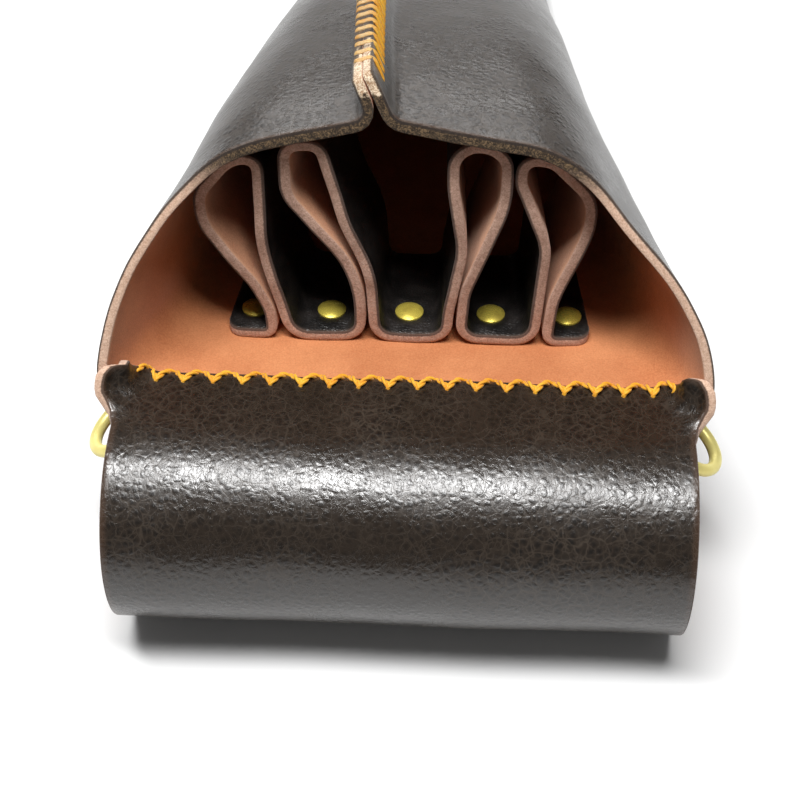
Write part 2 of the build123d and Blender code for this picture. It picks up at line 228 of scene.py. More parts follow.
def sheet_mesh(name, grain, flesh):
    """A sheet of leather between two grids of points, with a softly rounded cut edge all round.

    The attribute "through" runs from 0 on the grain side to 1 on the flesh side, and "inset" is the
    distance in millimetres from the nearest cut edge."""
    rows, columns = grain.shape[:2]
    count = rows * columns
    middle = (grain + flesh) / 2
    border = [(0, c) for c in range(columns)] + [(r, columns - 1) for r in range(1, rows)]
    border += [(rows - 1, c) for c in range(columns - 2, -1, -1)] + [(r, 0) for r in range(rows - 2, 0, -1)]
    row, column = np.array(border).T
    inner_row, inner_column = np.clip(row, 1, rows - 2), np.clip(column, 1, columns - 2)
    outward = middle[row, column] - middle[inner_row, inner_column]
    outward /= np.linalg.norm(outward, axis=1, keepdims=True)
    rings = []
    for share, swell in edge_profile[1:-1]:
        rings.append(mix(grain[row, column], flesh[row, column], share) + swell * outward)
    points = np.concatenate([grain.reshape(-1, 3), flesh.reshape(-1, 3), *rings])
    index = np.arange(count).reshape(rows, columns)
    quads = np.stack((index[:-1, :-1], index[:-1, 1:], index[1:, 1:], index[1:, :-1]), axis=-1).reshape(-1, 4)
    loops = [index[row, column]]
    loops += [2 * count + n * len(border) + np.arange(len(border)) for n in range(len(rings))]
    loops += [count + index[row, column]]
    faces = [quads, quads[:, ::-1] + count]
    for one, two in zip(loops, loops[1:]):
        faces.append(np.stack((one, two, np.roll(two, -1), np.roll(one, -1)), axis=1))
    faces = np.concatenate(faces)
    first, second, third = (points[faces[0, n]] for n in range(3))
    if np.cross(second - first, third - first) @ (grain[0, 0] - flesh[0, 0]) < 0:
        faces = faces[:, ::-1]
    mesh = bpy.data.meshes.new(name)
    mesh.from_pydata(laid_down(points).tolist(), [], faces.tolist())
    sides = np.repeat((0, 1, 2), (len(quads), len(quads), len(faces) - 2 * len(quads)))
    mesh.polygons.foreach_set("material_index", sides.astype(np.int32))
    mesh.polygons.foreach_set("use_smooth", np.ones(len(faces), bool))
    through = np.concatenate([np.zeros(count), np.ones(count)] + [
        np.full(len(border), share) for share, swell in edge_profile[1:-1]])
    down = np.linalg.norm(np.diff(middle, axis=0), axis=2)
    side = np.linalg.norm(np.diff(middle, axis=1), axis=2)
    from_top = np.concatenate((np.zeros((1, columns)), np.cumsum(down, axis=0)))
    from_left = np.concatenate((np.zeros((rows, 1)), np.cumsum(side, axis=1)), axis=1)
    inset = np.minimum(np.minimum(from_top, from_top[-1] - from_top),
                       np.minimum(from_left, from_left[:, -1:] - from_left)).reshape(-1)
    inset = np.concatenate((inset, inset, np.zeros(len(border) * len(rings))))
    for label, values in (("through", through), ("inset", inset)):
        mesh.attributes.new(label, "FLOAT", "POINT").data.foreach_set("value", values.astype(np.float32))
    mesh.update()
    piece = bpy.data.objects.new(name, mesh)
    bpy.context.scene.collection.objects.link(piece)
    return piece


class Flow:
    """A shader socket in an expression: arithmetic on it adds the Math nodes that work it out."""

    def __init__(self, tree, socket=None):
        self.tree, self.socket = tree, socket

    def node(self, kind, settings=None, inputs=None, output=0):
        """Any node: its settings first, then the values or links of its inputs."""
        made = self.tree.nodes.new(kind)
        for name, value in (settings or {}).items():
            setattr(made, name, value)
        for name, value in (inputs or {}).items():
            if isinstance(value, Flow):
                self.tree.links.new(value.socket, made.inputs[name])
            else:
                made.inputs[name].default_value = value
        return Flow(self.tree, made.outputs[output] if made.outputs else None)

    def maths(self, operation, first, second=0.0):
        return self.node("ShaderNodeMath", {"operation": operation}, {0: first, 1: second})

    def __add__(self, other):
        return self.maths("ADD", self, other)

    def __sub__(self, other):
        return self.maths("SUBTRACT", self, other)

    def __rsub__(self, other):
        return self.maths("SUBTRACT", other, self)

    def __mul__(self, other):
        return self.maths("MULTIPLY", self, other)

    __radd__, __rmul__ = __add__, __mul__

    def rise(self, low, high):
        """0 below low and 1 above high, with a soft step between."""
        return self.node("ShaderNodeMapRange", {"interpolation_type": "SMOOTHSTEP"},
                         {"Value": self, "From Min": low, "From Max": high})

    def towards(self, colour, other):
        """Colour where this is 0, other where it is 1."""
        return self.node("ShaderNodeMix", {"data_type": "RGBA"}, {0: self, 6: colour, 7: other}, 2)


def paint(*colour):
    """A colour as a picture shows it, from 0 to 255, in the light's own scale."""
    light = [c / 255 / 12.92 if c <= 10 else ((c / 255 + 0.055) / 1.055) ** 2.4 for c in colour]
    return (*light, 1.0)


def new_finish(name):
    finish = bpy.data.materials.new(name)
    finish.use_nodes = True
    finish.node_tree.nodes.clear()
    return finish, Flow(finish.node_tree)


def finished(flow, surface, height=None, depth=0.001, strength=1.0):
    """Closes a finish: the shader's sockets, and the relief that its light and shade follow."""
    if height is not None:
        surface["Normal"] = flow.node("ShaderNodeBump", None, {
            "Height": height, "Distance": depth, "Strength": strength})
    shader = flow.node("ShaderNodeBsdfPrincipled", None, surface)
    flow.node("ShaderNodeOutputMaterial", None, {"Surface": shader})


def bent_place(flow, wander, size, place=None):
    """Object coordinates pushed about a little, so that no pattern runs straight."""
    place = place or flow.node("ShaderNodeTexCoord", output="Object")
    push = flow.node("ShaderNodeTexNoise", None, {"Vector": place, "Scale": size, "Detail": 2.0}, "Color")
    push = flow.node("ShaderNodeVectorMath", {"operation": "SUBTRACT"}, {0: push, 1: (0.5, 0.5, 0.5)})
    push = flow.node("ShaderNodeVectorMath", {"operation": "SCALE"}, {0: push, "Scale": wander})
    return flow.node("ShaderNodeVectorMath", {"operation": "ADD"}, {0: place, 1: push})


def noise_at(flow, place, scale, detail=3.0, rough=0.5):
    return flow.node("ShaderNodeTexNoise", None, {
        "Vector": place, "Scale": scale, "Detail": detail, "Roughness": rough})


def pebbled_finish(name, dark, middle, light, shine):
    """Grain side of milled leather: small round pebbles, darker than the skin between them, under a wider net
    of fine pale lines, which are painted highlights on the crease edges, with folds that the bending has
    drawn out, all beneath one gloss."""
    finish, flow = new_finish(name)
    pebbles = 720
    place = bent_place(flow, 0.0018, 260)
    place = bent_place(flow, 0.0005, 1300, place)
    pebble = flow.node("ShaderNodeTexVoronoi", {"feature": "SMOOTH_F1"}, {
        "Vector": place, "Scale": pebbles, "Smoothness": 0.3})
    pebble = 1 - pebble.rise(0.12, 0.62)
    edge, wide_edge = [
        flow.node("ShaderNodeTexVoronoi", {"feature": "DISTANCE_TO_EDGE"}, {"Vector": place, "Scale": scale})
        for scale in (pebbles, 300)
    ]
    pulled = flow.node("ShaderNodeMapping", None, {"Vector": place, "Scale": (2.4, 0.9, 0.9)})
    drawn = noise_at(flow, pulled, 300, 4.0, 0.6)
    fold = noise_at(flow, pulled, 700, 3.0, 0.55) - 0.5
    crease = 1 - fold.maths("ABSOLUTE", fold).rise(0.0, 0.035)
    fine = noise_at(flow, place, 3200, 3.0, 0.6)
    patch = noise_at(flow, place, 48, 3.0).rise(0.32, 0.68)
    lines = 1 - edge.rise(0.0, 0.1)
    lines = lines.maths("MAXIMUM", 0.7 * lines * drawn.rise(0.35, 0.6), 0.8 * (1 - wide_edge.rise(0.0, 0.05)))
    inset = flow.node("ShaderNodeAttribute", {"attribute_name": "inset"}, output="Fac")
    wear_and_highlight = 1 - inset.rise(0.2, 1.6)
    colour = (pebble * (0.5 + 0.5 * patch)).towards(middle, dark)
    # The pale net lines in the colour are painted highlights: the glints that the crease edges catch.
    colour = (lines * (0.25 + 0.55 * patch)).towards(colour, light)
    colour = (0.35 * wear_and_highlight).towards(colour, paint(96, 72, 56))
    relief = 0.45 * pebble + 0.35 * drawn + 0.06 * fine - 0.14 * lines - 0.12 * crease
    rough = shine + 0.05 * lines + 0.08 * patch + 0.08 * (fine - 0.5)
    finished(flow, {"Base Color": colour, "Roughness": rough, "Specular IOR Level": 0.8}, relief, 0.0002, 0.5)
    return finish


def suede_finish(name, tan, deep):
    """Flesh side: a short tan nap, brushed a little lighter and darker in patches."""
    finish, flow = new_finish(name)
    place = bent_place(flow, 0.002, 90)
    nap = noise_at(flow, place, 2600, 4.0, 0.7)
    brushed = noise_at(flow, place, 70, 4.0, 0.6)
    grit = noise_at(flow, place, 900, 2.0)
    tone = 0.45 * nap.rise(0.3, 0.7) + 0.4 * brushed.rise(0.3, 0.7) + 0.15 * grit
    inset = flow.node("ShaderNodeAttribute", {"attribute_name": "inset"}, output="Fac")
    colour = tone.towards(deep, tan)
    colour = (0.5 * (1 - inset.rise(0.0, 1.2))).towards(colour, paint(206, 168, 140))
    finished(flow, {"Base Color": colour, "Roughness": 0.95, "Specular IOR Level": 0.15, "Sheen Weight": 0.35,
                    "Sheen Roughness": 0.5, "Sheen Tint": (1.0, 0.8, 0.65, 1.0)},
             0.7 * nap + 0.3 * grit, 0.00022, 0.7)
    return finish


def cut_edge_finish(name, pale, deep, dyed, dark_band_heights=None):
    """Cut edge: raw fibres across the thickness, dark where the dyed grain begins. Where a band's heights are
    given, the whole edge turns dark brown above the first height, and the seam's own fur above the second is
    pale cream."""
    finish, flow = new_finish(name)
    place = bent_place(flow, 0.0012, 700)
    through = flow.node("ShaderNodeAttribute", {"attribute_name": "through"}, output="Fac")
    fibre = noise_at(flow, place, 3000, 4.0, 0.75)
    streak = noise_at(flow, place, 900, 3.0)
    tone = 0.75 * fibre.rise(0.3, 0.7) + 0.25 * streak.rise(0.3, 0.7)
    colour = tone.towards(deep, pale)
    if dark_band_heights:
        up = flow.node("ShaderNodeSeparateXYZ", None, {"Vector": place}, "Z") + 0.004 * (streak - 0.5)
        darker_band = tone.rise(0.35, 0.9).towards(paint(44, 34, 24), paint(118, 96, 70))
        fur = tone.rise(0.25, 0.8).towards(paint(168, 132, 100), paint(244, 226, 198))
        # The whole edge turns dark brown above the first height and pale cream above the second.
        colour = up.rise(*dark_band_heights[0]).towards(colour, darker_band)
        colour = up.rise(*dark_band_heights[1]).towards(colour, fur)
    grain_line = 1 - (through + 0.14 * (fibre - 0.5)).rise(0.14, 0.3)
    colour = (0.9 * grain_line).towards(colour, dyed)
    finished(flow, {"Base Color": colour, "Roughness": 0.9, "Specular IOR Level": 0.2, "Sheen Weight": 0.2},
             0.6 * fibre + 0.4 * streak, 0.0004, 0.9)
    return finish


# The third colour is the pale of the painted highlights along the grain's net lines.
grain_side = pebbled_finish("pebbled grain", paint(22, 17, 13), paint(41, 33, 26), paint(72, 62, 52), 0.23)
suede_side = suede_finish("tan suede", paint(216, 145, 98), paint(176, 106, 66))
raw_pale, raw_deep = paint(240, 208, 184), paint(188, 146, 120)
raw_edge = cut_edge_finish("raw cut edge", raw_pale, raw_deep, paint(58, 42, 34))
mouth_edge = cut_edge_finish("mouth cut edge", raw_pale, raw_deep, paint(40, 32, 28),
                             ((0.077, 0.085), (0.0945, 0.0955)))


def dress(piece, node, finishes=()):
    """Gives a piece of the pouch its finishes and hides the plain solid that it stands for."""
    for finish in finishes:
        piece.data.materials.append(finish)
    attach(piece, "pouch")
    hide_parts(node)


section_points, sheet_rows = 330, 100
levels = np.linspace(0, pouch_length, 101)
level_step = levels[1]
sections = np.array([pouch_section(y, section_points) for y in levels])
from_seam = np.minimum(np.arange(section_points), np.arange(section_points)[::-1])
furred = leather + 0.12 * np.clip(1.6 - from_seam / 7, 0, 1)[:, None]
inner_sections = np.array([line + furred * leftward(line) for line in sections])


def on_sheet(lines, y):
    """Points of the drawn sheet at each column's own y."""
    spot = np.clip(y / level_step, 0, len(levels) - 1.001)
    low = spot.astype(int)
    share = (spot - low)[..., None]
    columns = np.arange(section_points)
    flat = mix(lines[low, columns], lines[low + 1, columns], share)
    return np.stack((flat[..., 0], y, flat[..., 1]), axis=-1)


def rimmed(lines, rows):
    """The sheet from its rim, which leans back as it rises, to its tip."""
    rim = np.zeros(section_points)
    for turn in range(5):
        rim = rim_set_back * on_sheet(lines, rim)[:, 2]
    shares = np.linspace(0, 1, rows)[:, None] ** 1.15
    return on_sheet(lines, mix(rim, pouch_length, shares))


grain, flesh = rimmed(sections, sheet_rows), rimmed(inner_sections, sheet_rows)
pouch = sheet_mesh("pouch_sheet", *hand_made(grain, flesh, (26, 0.5), (9, 0.16)))
dress(pouch, "pouch_body", (grain_side, suede_side, mouth_edge))


# The divider: a strip of firmer leather, smooth and black on its grain side, folded up into four standing
# loops and riveted down between them, with the corners of its two ends cut round. The scissors stand in
# the loops and in the valleys between them.
strip_leather = 2.3
strip_front, strip_width = 24.0, 28.0
strip_spread, strip_lower = 0.93, 0.92
lay_gap = 0.1
strip_floor = leather + lay_gap + strip_leather / 2
strip_reach, strip_corner = 38.2, 3.5
loop_shapes = [
    ((-28.5, 1.7), [(-28.8, 9.2, 10), (-31.5, 16.2, 20), (-41.3, 31, 12), (-41.3, 38.2, 6), (-35.4, 45.4, 7),
                    (-29.2, 48.2, 2.8), (-29.5, 25, 40)], (-24.5, 4.6)),
    ((-10, 3.7), [(-10, 19.9, 28), (-24.2, 38.3, 9), (-24.1, 50.1, 3.2), (-17, 50.1, 3.1), (-12.6, 31.9, 30),
                  (-7.7, 19.5, 22)], (-6.8, 3.8)),
    ((7.9, 3.8), [(8.3, 10.5, 30), (10.9, 26, 20), (8.6, 41, 30), (8.6, 50.3, 4.5), (19, 50.3, 4.8),
                  (19.1, 37.2, 24), (11.6, 15.3, 20)], (10.9, 3.6)),
    ((26.1, 4), [(27.5, 27.8, 15), (21.6, 42.3, 8), (21.8, 48.1, 2.7), (27.8, 47.4, 5), (35.8, 38.9, 8),
                 (35.8, 31.6, 18), (29.7, 13.8, 20)], (29, 2)),
]
rivet_places, rivet_spread = (-33.3, -16.8, 0.0, 17.6, 34.1), 0.9825


def strip_line(spread, lower, count):
    """Middle line of the strip: its flat left end, the loops, and its flat right end."""
    corners, radii = [(-strip_reach * spread, strip_floor)], []
    for foot, wall, last_foot in loop_shapes:
        corners.append((foot[0] * spread, strip_floor))
        corners += [(x * spread, z * lower) for x, z, radius in wall]
        corners.append((last_foot[0] * spread, strip_floor))
        radii += [radius * spread for radius in (foot[1], *[bend[2] for bend in wall], last_foot[1])]
    corners.append((strip_reach * spread, strip_floor))
    return even(rounded(corners, radii), count, ease=0.5)


strip_points, strip_rows = 2081, 24
end_count, middle_step = 24, 4
end_points = np.arange(end_count)
columns = np.concatenate((end_points, np.arange(end_count, strip_points - end_count, middle_step),
                          strip_points - 1 - end_points[::-1]))
front_line = strip_line(1, 1, strip_points)
far_line = strip_line(strip_spread, strip_lower, strip_points)
walked = np.arange(strip_points) * np.linalg.norm(front_line[1] - front_line[0])
from_end = np.minimum(walked, walked[-1] - walked)[columns]
cut_back = strip_corner - np.sqrt(strip_corner ** 2 - np.maximum(strip_corner - from_end, 0) ** 2)
shares = np.linspace(0, 1, strip_rows)[:, None]
depths = strip_front + cut_back + (strip_width - 2 * cut_back) * shares
spans = ((depths - strip_front) / strip_width)[..., None]
front_side, far_side = leftward(front_line) * strip_leather / 2, leftward(far_line) * strip_leather / 2
strip_lines = mix(front_line[columns], far_line[columns], spans)
strip_sides = mix(front_side[columns], far_side[columns], spans)


def strip_points_at(lines):
    return np.stack((lines[..., 0], depths, lines[..., 1]), axis=-1)


grain, flesh = strip_points_at(strip_lines + strip_sides), strip_points_at(strip_lines - strip_sides)
lean = np.zeros(grain.shape)
lean[..., 1] = unevenness(np.broadcast_to(grain[:1], grain.shape), 7, 0.45)
rivet_depth = strip_front + 7.0
swell_reach, swell_width, swell_height, swell_top = 4.6, 0.9, 0.4, 5.2
for x in rivet_places:
    away = np.hypot(grain[..., 0] - x * rivet_spread, grain[..., 1] - rivet_depth)
    swell = swell_height * np.exp(-((away - swell_reach) / swell_width) ** 2)
    grain[..., 2] += swell * (grain[..., 2] < swell_top)


def smooth_finish(name, dark, light):
    """Grain side of the firmer strip: smooth and black, with a fine hair-cell grain and a satin gloss."""
    finish, flow = new_finish(name)
    place = bent_place(flow, 0.0006, 500)
    hair = flow.node("ShaderNodeTexVoronoi", {"feature": "DISTANCE_TO_EDGE"}, {
        "Vector": place, "Scale": 1500})
    crease = hair.rise(0.0, 0.25)
    drawn = noise_at(flow, place, 260, 3.0)
    inset = flow.node("ShaderNodeAttribute", {"attribute_name": "inset"}, output="Fac")
    colour = drawn.rise(0.35, 0.7).towards(dark, light)
    colour = (0.3 * (1 - inset.rise(0.0, 0.8))).towards(colour, paint(110, 88, 74))
    finished(flow, {"Base Color": colour, "Roughness": 0.3 + 0.16 * drawn, "Specular IOR Level": 0.5},
             0.4 * crease + 0.8 * drawn, 0.00018, 0.6)
    return finish


strip_grain = smooth_finish("smooth black grain", paint(20, 18, 17), paint(38, 34, 32))
strip_suede = suede_finish("strip suede", paint(214, 156, 118), paint(160, 104, 74))
strip_edge = cut_edge_finish("strip cut edge", paint(222, 186, 166), paint(158, 118, 98), paint(70, 52, 44))
divider = sheet_mesh("divider_sheet", grain + lean, flesh + lean)
dress(divider, "divider_strip", (strip_grain, strip_suede, strip_edge))


# The belt flap: a second piece of the pebbled leather, sewn to the back rim inside the mouth. It rolls
# forward and back under the pouch and is riveted to the back panel, so that a belt passes through it. Its
# corners roll up the sides of the mouth and spread out over the rim.
flap_lap = 9.5
flap_half, flap_end_half = 57.0, 40.0
flap_top = 2 * leather + lay_gap
roll_start, roll_radius, roll_straight = -6.0, 22.5, 0.3
rise_angle, rise_round = math.radians(45), 18.0
flap_end = 66.0
corner_places = (-6.0, -3.0, 0.0, 3.5, 7.0, 9.5)
corner_halves = (57.0, 57.8, 60.5, 64.0, 63.4, 61.5)
corner_start, corner_run = 53.0, 9.0
corner_pull, corner_spread = 4.2, 1.9


def flap_line(count):
    """Outer line of the flap in (y, z), from its sewn edge over the roll to its riveted end."""
    front = roll_start - roll_radius - roll_straight
    bottom = flap_top - 2 * roll_radius - roll_straight
    end_face = -lay_gap - leather
    turn = roll_start + roll_straight + roll_radius * math.tan(rise_angle / 2)
    landing = turn + (end_face - bottom) / math.tan(rise_angle)
    corners = [(flap_lap, flap_top), (front, flap_top), (front, bottom), (turn, bottom),
               (landing, end_face), (flap_end, end_face)]
    return even(rounded(corners, [roll_radius, roll_radius, roll_radius, rise_round], 24), count, ease=1.2)


def flap_section(walk, y):
    """Flesh and grain side of the flap in (x, z) at a walk from its middle line. Inside the mouth it follows
    the pouch's own corners, and it flattens between the mouth and the roll."""
    low = int(np.clip(y / level_step, 0, len(levels) - 2))
    base = mix(inner_sections[low], inner_sections[low + 1], max(y / level_step - low, 0))
    inside = leftward(base)
    run = np.concatenate(([0], np.cumsum(np.linalg.norm(np.diff(base, axis=0), axis=1))))
    middle = np.argmin(np.abs(base[:, 0]) + 1000 * (base[:, 1] > 10))
    run -= run[middle]
    if base[middle + 1, 0] < base[middle, 0]:
        base, inside, run = base[::-1], inside[::-1], -run[::-1]
    laid = eased(1 - y / roll_start)
    sides = []
    for above in (lay_gap, lay_gap + leather):
        line = base + above * inside
        bent = np.stack([np.interp(walk, run, line[:, n]) for n in (0, 1)], axis=-1)
        flat = np.stack((walk, np.full_like(walk, flap_top - leather - lay_gap + above)), axis=-1)
        sides.append(mix(flat, bent, laid))
    return sides


flap_rows, flap_columns = 170, 132
line = flap_line(flap_rows)
inward = leftward(line)
places = np.linspace(-1, 1, flap_columns)
grain = np.zeros((flap_rows, flap_columns, 3))
flesh = np.zeros_like(grain)
for row, ((y, z), (in_y, in_z)) in enumerate(zip(line, inward)):
    behind = z < -roll_radius or row > flap_rows / 2
    narrowing = np.clip((y - roll_start) / (flap_end - roll_start), 0, 1) if behind else 0
    if y > roll_start and not behind:
        walk = places * np.interp(y, corner_places, corner_halves)
        corner = eased((np.abs(walk) - corner_start) / corner_run)
        drawn_in = y - corner_pull * corner * np.clip((y + 2) / (flap_lap + 2), 0, 1)
        spread = corner_spread * np.sign(walk) * corner * np.clip(1 - y / roll_start, 0, 1)
        for grid, side in zip((flesh, grain), flap_section(walk, y)):
            before_rim = np.clip((rim_set_back * side[:, 1] - drawn_in + 0.6) / 1.6, 0, 1)
            grid[row, :, 0] = side[:, 0] + spread * before_rim
            grid[row, :, 1] = drawn_in
            grid[row, :, 2] = side[:, 1]
    else:
        walk = places * mix(flap_half, flap_end_half, narrowing)
        for grid, offset in ((grain, 0), (flesh, leather)):
            grid[row, :, 0] = walk
            grid[row, :, 1] = y + in_y * offset
            grid[row, :, 2] = z + in_z * offset
flap = sheet_mesh("flap_sheet", *hand_made(grain, flesh, (30, 0.45), (10, 0.1)))
dress(flap, "belt_flap", (grain_side, suede_side, raw_edge))


# The ring tabs: two short straps of thinner leather, folded round the bars of the D-rings and riveted
# under the corners of the mouth.
tab_leather = 1.5
tab_half_width = 5.0
tab_upper = -lay_gap - tab_leather / 2
tab_lower = tab_upper - tab_leather - lay_gap
ring_wire_radius, fold_gap = 1.3, 0.15
tab_fold = ring_wire_radius + fold_gap + tab_leather / 2
tab_drop = 2 * tab_fold + 0.11
tab_inner, tab_step = 38.0, 47.5


def ring_tab(name, side):
    outer = ring_bar_place[0] + tab_fold
    corners = [(tab_inner, tab_upper), (outer, tab_upper), (outer, tab_upper - tab_drop),
               (tab_step + 3, tab_upper - tab_drop), (tab_step, tab_lower), (tab_inner, tab_lower)]
    middle = even(rounded(corners, [tab_fold, tab_fold, 1.6, 1.6]), 110, ease=0.3)
    out = leftward(middle) * tab_leather / 2
    widths = np.linspace(-tab_half_width, tab_half_width, 20)
    sides = []
    for line in (middle + out, middle - out):
        grid = np.zeros((len(widths), len(line), 3))
        grid[..., 0] = side * line[:, 0]
        grid[..., 1] = ring_bar_place[1] + widths[:, None]
        grid[..., 2] = line[:, 1]
        sides.append(grid)
    tab = sheet_mesh(name, *sides)
    dress(tab, name.replace("_strap", ""), (grain_side, suede_side, raw_edge))


ring_tab("left_ring_tab_strap", -1)
ring_tab("right_ring_tab_strap", 1)


# The whip stitches: two yellow waxed threads laid side by side, sewn over the standing seam from its first
# hole behind the mouth to its last above the tip. Each stitch comes out of a hole in the right side of
# the seam, climbs over both cut edges and goes in at the left, nearly one pitch further on.
seam_pitch, seam_depth = 3.4, 4.9
seam_start, seam_end = 30.0, 166.0
seam_half_width = leather + seam_gap / 2
seam_strand = 0.3


def laid_thread_tree():
    """Geometry nodes for thread along a line of edges: strands wound round the line at an even lay."""
    tree = bpy.data.node_groups.new("laid thread", "GeometryNodeTree")
    tree.interface.new_socket("Line", in_out="INPUT", socket_type="NodeSocketGeometry")
    for label in ("Strand radius", "Apart", "Turns per metre", "Step"):
        tree.interface.new_socket(label, in_out="INPUT", socket_type="NodeSocketFloat")
    tree.interface.new_socket("Finish", in_out="INPUT", socket_type="NodeSocketMaterial")
    tree.interface.new_socket("Thread", in_out="OUTPUT", socket_type="NodeSocketGeometry")
    given = tree.nodes.new("NodeGroupInput")
    line, radius, apart, turns, step, finish = [Flow(tree, given.outputs[n]) for n in range(6)]
    start = Flow(tree)
    curve = start.node("GeometryNodeMeshToCurve", None, {"Mesh": line})
    curve = start.node("GeometryNodeResampleCurve", {"mode": "LENGTH"}, {"Curve": curve, "Length": step})
    walked = start.node("GeometryNodeSplineParameter", output="Length")
    share = start.node("GeometryNodeSplineParameter", output="Factor")
    curve = start.node("GeometryNodeStoreNamedAttribute", {"data_type": "FLOAT", "domain": "POINT"}, {
        "Geometry": curve, "Name": "along", "Value": share})
    forward = start.node("GeometryNodeInputTangent")
    beside = start.node("GeometryNodeInputNormal")
    above = start.node("ShaderNodeVectorMath", {"operation": "CROSS_PRODUCT"}, {0: forward, 1: beside})
    ring = start.node("GeometryNodeCurvePrimitiveCircle", None, {"Resolution": 9, "Radius": radius})
    joined = tree.nodes.new("GeometryNodeJoinGeometry")
    for half_turn in (0.0, math.pi):
        angle = walked * turns * (2 * math.pi) + half_turn
        aside = start.node("ShaderNodeVectorMath", {"operation": "SCALE"}, {
            0: beside, "Scale": apart * angle.maths("COSINE", angle)})
        over = start.node("ShaderNodeVectorMath", {"operation": "SCALE"}, {
            0: above, "Scale": apart * angle.maths("SINE", angle)})
        push = start.node("ShaderNodeVectorMath", {"operation": "ADD"}, {0: aside, 1: over})
        strand = start.node("GeometryNodeSetPosition", None, {"Geometry": curve, "Offset": push})
        strand = start.node("GeometryNodeCurveToMesh", None, {
            "Curve": strand, "Profile Curve": ring, "Fill Caps": True})
        tree.links.new(strand.socket, joined.inputs[0])
    thread = start.node("GeometryNodeRealizeInstances", None, {"Geometry": Flow(tree, joined.outputs[0])})
    thread = start.node("GeometryNodeSetShadeSmooth", None, {"Geometry": thread})
    thread = start.node("GeometryNodeSetMaterial", None, {"Geometry": thread, "Material": finish})
    tree.links.new(thread.socket, tree.nodes.new("NodeGroupOutput").inputs[0])
    return tree


laid_thread = laid_thread_tree()


def sewn(name, lines, finish, radius, apart, turns, step=0.4):
    """A seam's thread as one mesh: every line of points, in the pouch's millimetres, laid with strands."""
    points = np.concatenate(lines)
    edges, first = [], 0
    for line in lines:
        edges += [(first + n, first + n + 1) for n in range(len(line) - 1)]
        first += len(line)
    mesh = bpy.data.meshes.new(name + "_line")
    mesh.from_pydata(laid_down(points).tolist(), edges, [])
    holder = bpy.data.objects.new(name + "_line", mesh)
    bpy.context.scene.collection.objects.link(holder)
    modifier = holder.modifiers.new("thread", "NODES")
    modifier.node_group = laid_thread
    values = {"Strand radius": radius / 1000, "Apart": apart / 1000, "Turns per metre": turns * 1000.0,
              "Step": step / 1000, "Finish": finish}
    for item in laid_thread.interface.items_tree:
        if item.in_out == "INPUT" and item.name in values:
            modifier[item.identifier] = values[item.name]
    held = holder.evaluated_get(bpy.context.evaluated_depsgraph_get())
    laid = bpy.data.meshes.new_from_object(held)
    bpy.data.objects.remove(holder)
    laid.name = name
    thread = bpy.data.objects.new(name, laid)
    bpy.context.scene.collection.objects.link(thread)
    return thread


def thread_finish(name, bright, deep, wear_and_highlight):
    """Waxed polyester thread: yellow, a little orange in patches, with a painted highlight that pales the top
    of each stitch.
    """
    finish, flow = new_finish(name)
    place = bent_place(flow, 0.0004, 900)
    fibre = noise_at(flow, place, 3600, 3.0, 0.6)
    patch = noise_at(flow, place, 160, 3.0)
    along = flow.node("ShaderNodeAttribute", {"attribute_name": "along"}, output="Fac")
    top = 1 - (along - 0.5).maths("ABSOLUTE", along - 0.5).rise(0.02, 0.2)
    tone = 0.5 * fibre.rise(0.3, 0.7) + 0.5 * patch.rise(0.35, 0.7)
    colour = tone.towards(deep, bright)
    # Painted highlight: the middle of each stitch, where it crosses the top of the seam, is paled towards
    # cream.
    colour = (wear_and_highlight * top * patch.rise(0.25, 0.55)).towards(colour, paint(255, 228, 180))
    finished(flow, {"Base Color": colour, "Roughness": 0.5, "Specular IOR Level": 0.4, "Sheen Weight": 0.3,
                    "Sheen Roughness": 0.4}, 0.7 * fibre + 0.3 * patch, 0.00022, 0.8)
    return finish


# The last number sets how strongly the painted highlight pales the tops of the stitches.
seam_thread_finish = thread_finish("waxed seam thread", paint(255, 212, 74), paint(244, 172, 46), 0.9)


def whip_stitch(y, aside):
    """One thread of a stitch, from inside its right hole over the seam to inside its left hole."""
    foot, top = seam_line(y)
    up = (top - foot) / np.linalg.norm(top - foot)
    right = np.array((up[1], -up[0]))
    wide, depth = seam_half_width + 0.5 * seam_strand, min(seam_depth, np.linalg.norm(top - foot) - 1.0)
    steps = [(1.2, -depth, 0), (wide - 0.5, -depth, 0), (wide, -depth + 0.4, 0.15), (wide, -2.6, 0.9),
             (wide - 0.05, -0.7, 1.6), (wide - 0.8, seam_strand, 1.8), (0, seam_strand - 0.12, 2.1),
             (0.8 - wide, seam_strand, 2.4), (0.05 - wide, -0.7, 2.6), (-wide, -2.6, 3.0),
             (-wide, -depth + 0.4, 3.3), (0.5 - wide, -depth, 3.4), (-1.2, -depth, 3.4)]
    line = []
    for across_seam, above_top, on in steps:
        place = top + across_seam * right + above_top * up
        line.append((place[0], y + on + aside, place[1]))
    return even(np.array(line), 60, ease=0.35)


stitch_places = np.arange(seam_start, seam_end + 0.1, seam_pitch)
tightness = np.array([noise.noise(Vector((y, 4.0, 9.0))) for y in stitch_places * 0.37])
lines = [whip_stitch(y + 0.3 * pull, side * (seam_strand + 0.06 * pull))
         for y, pull in zip(stitch_places, tightness) for side in (-1, 1)]
whip = sewn("front_seam_stitches", lines, seam_thread_finish, seam_strand, 0.0, 0.0)
dress(whip, "front_seam_thread")


# The flap's seam: a two-ply yellow thread sewn over the flap's cut edge in a sawtooth, through holes in the
# flap and in the back panel just behind it. A long stitch rises to the right and a short one drops back.
edge_start, edge_end, edge_teeth = -57.0, 55.6, 19
edge_ply = 0.34


def on_flap(walk, y):
    """Place across and height of the flap's grain side at a walk from its middle line."""
    return flap_section(np.array([walk]), min(y, flap_lap))[1][0]


